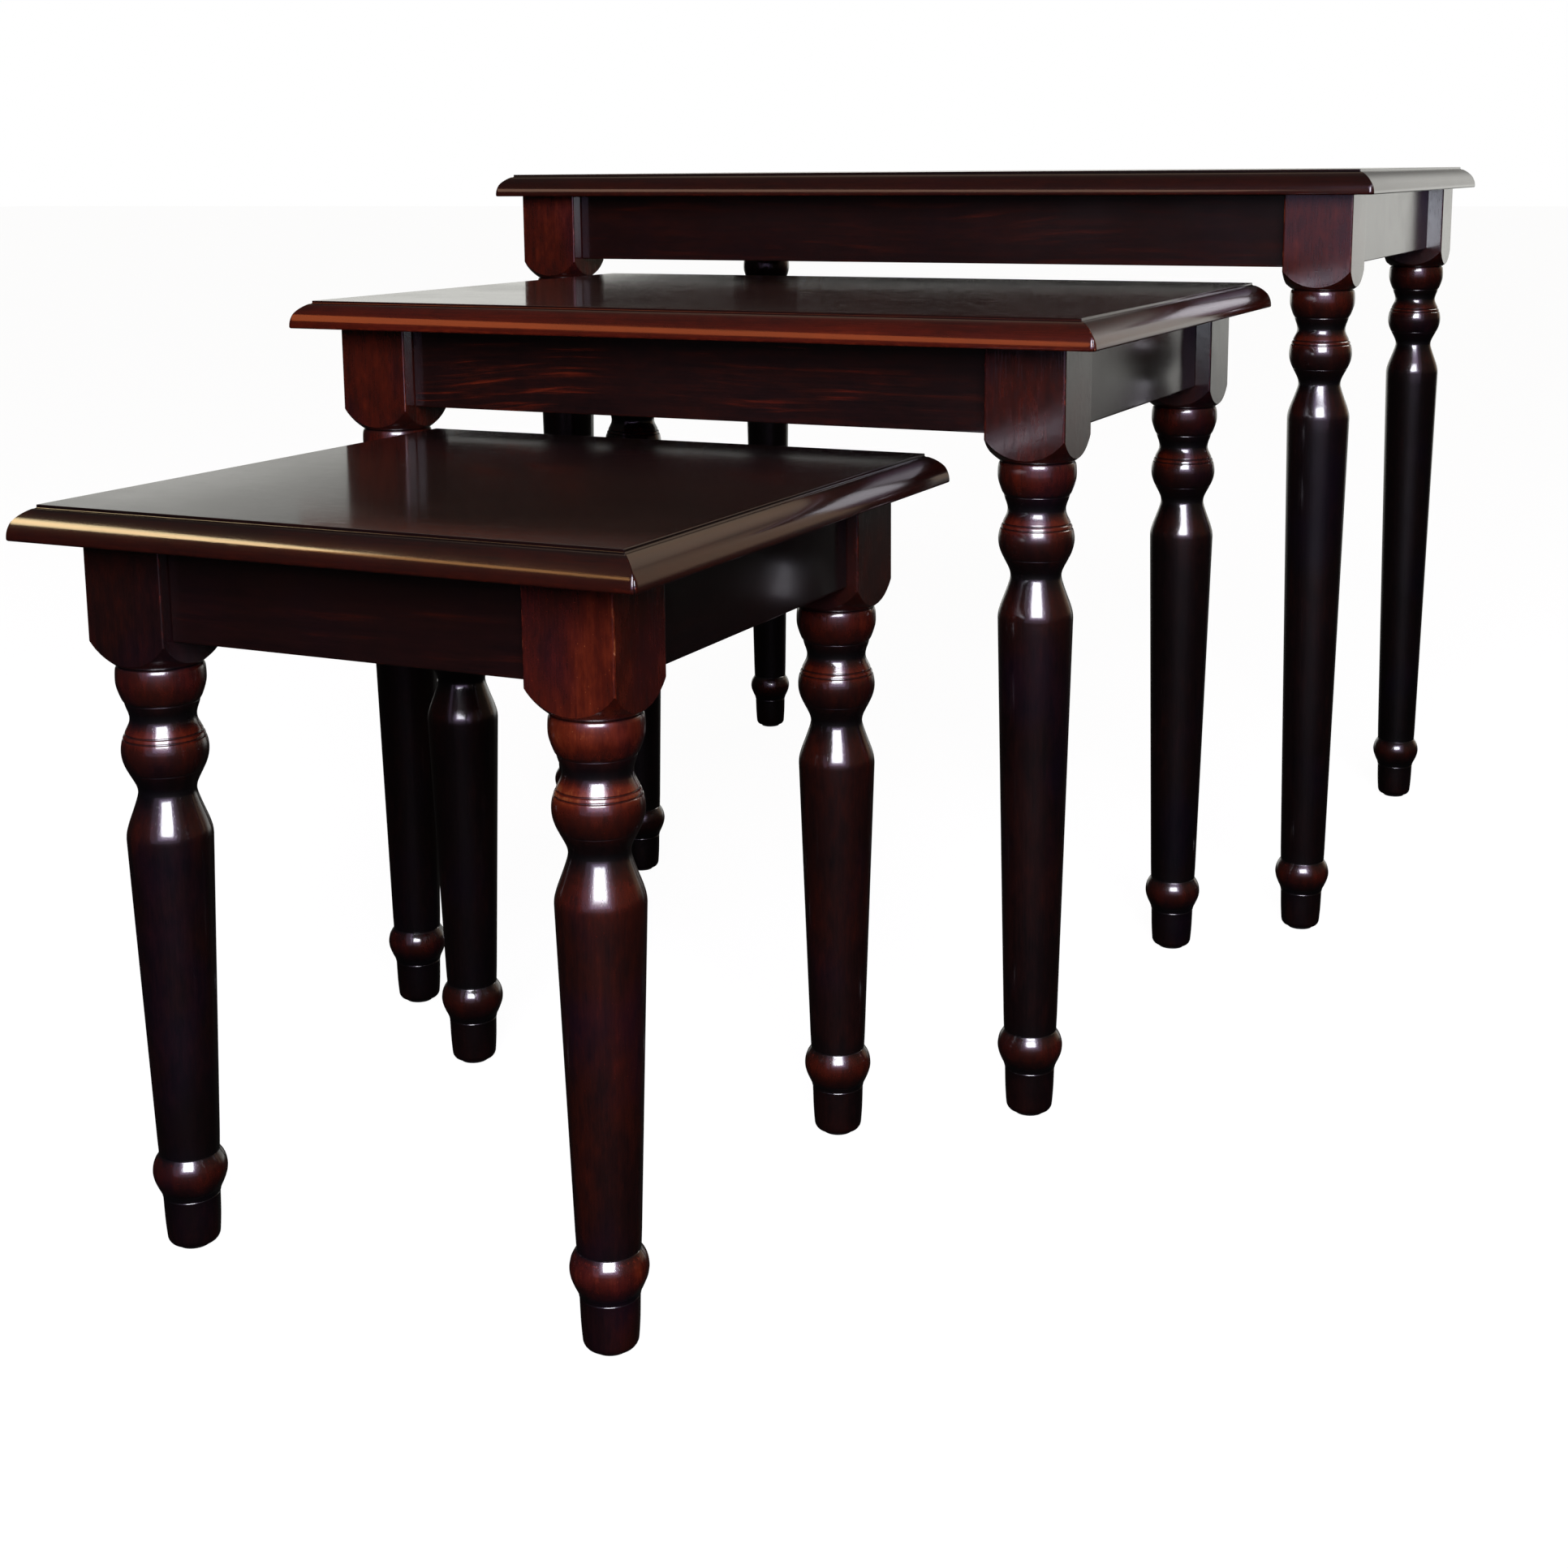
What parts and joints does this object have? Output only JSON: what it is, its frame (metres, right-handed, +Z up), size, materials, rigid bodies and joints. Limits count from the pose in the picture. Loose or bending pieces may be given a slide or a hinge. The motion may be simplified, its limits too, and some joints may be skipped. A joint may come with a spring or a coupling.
{
  "type": "nesting tables",
  "caption": "Set of nesting side tables with moulded rectangular tops and turned legs; each smaller table slides under the next larger one.",
  "frame": {"origin": "on the floor, at the middle of the footprint of the three tables as they stand pulled out", "axes": "+X along the long sides of the tops, +Y from the small table to the large one, +Z up"},
  "size_m": [0.735, 1.258, 0.58],
  "materials": {
    "top_lacquer": "dark mahogany stain under semi-gloss lacquer",
    "moulding_lacquer": "dark mahogany stain under gloss lacquer",
    "leg_lacquer": "dark mahogany stain under gloss lacquer",
    "apron_lacquer": "dark mahogany stain under semi-gloss lacquer",
    "raw_wood": "planed, unfinished",
    "zinc_steel": "zinc plated",
    "nylon": "moulded nylon"
  },
  "bodies": {
    "large_table": {"large_top_panel": "top_lacquer", "large_edge_front": "moulding_lacquer", "large_edge_back": "moulding_lacquer", "large_edge_left": "moulding_lacquer", "large_edge_right": "moulding_lacquer", "large_leg_front_left": "leg_lacquer", "large_leg_front_right": "leg_lacquer", "large_leg_back_right": "leg_lacquer", "large_leg_back_left": "leg_lacquer", "large_apron_front": "apron_lacquer", "large_apron_back": "apron_lacquer", "large_apron_left": "apron_lacquer", "large_apron_right": "apron_lacquer", "large_corner_braces": "raw_wood", "large_hanger_bolts": "zinc_steel", "large_washers": "zinc_steel", "large_nuts": "zinc_steel", "large_brace_screws": "zinc_steel", "large_top_screws": "zinc_steel", "large_glides": "nylon"},
    "medium_table": {"medium_top_panel": "top_lacquer", "medium_edge_front": "moulding_lacquer", "medium_edge_back": "moulding_lacquer", "medium_edge_left": "moulding_lacquer", "medium_edge_right": "moulding_lacquer", "medium_leg_front_left": "leg_lacquer", "medium_leg_front_right": "leg_lacquer", "medium_leg_back_right": "leg_lacquer", "medium_leg_back_left": "leg_lacquer", "medium_apron_front": "apron_lacquer", "medium_apron_back": "apron_lacquer", "medium_apron_left": "apron_lacquer", "medium_apron_right": "apron_lacquer", "medium_corner_braces": "raw_wood", "medium_hanger_bolts": "zinc_steel", "medium_washers": "zinc_steel", "medium_nuts": "zinc_steel", "medium_brace_screws": "zinc_steel", "medium_top_screws": "zinc_steel", "medium_glides": "nylon"},
    "small_table": {"small_top_panel": "top_lacquer", "small_edge_front": "moulding_lacquer", "small_edge_back": "moulding_lacquer", "small_edge_left": "moulding_lacquer", "small_edge_right": "moulding_lacquer", "small_leg_front_left": "leg_lacquer", "small_leg_front_right": "leg_lacquer", "small_leg_back_right": "leg_lacquer", "small_leg_back_left": "leg_lacquer", "small_apron_front": "apron_lacquer", "small_apron_back": "apron_lacquer", "small_apron_left": "apron_lacquer", "small_apron_right": "apron_lacquer", "small_corner_braces": "raw_wood", "small_hanger_bolts": "zinc_steel", "small_washers": "zinc_steel", "small_nuts": "zinc_steel", "small_brace_screws": "zinc_steel", "small_top_screws": "zinc_steel", "small_glides": "nylon"}
  },
  "joints": [
    {"name": "medium_slide", "type": "slide", "parent": "large_table", "child": "medium_table", "axis": [0, 1, 0], "range_m": [0, 0.418]},
    {"name": "small_slide", "type": "slide", "parent": "medium_table", "child": "small_table", "axis": [0, 1, 0], "range_m": [0, 0.357]}
  ]
}
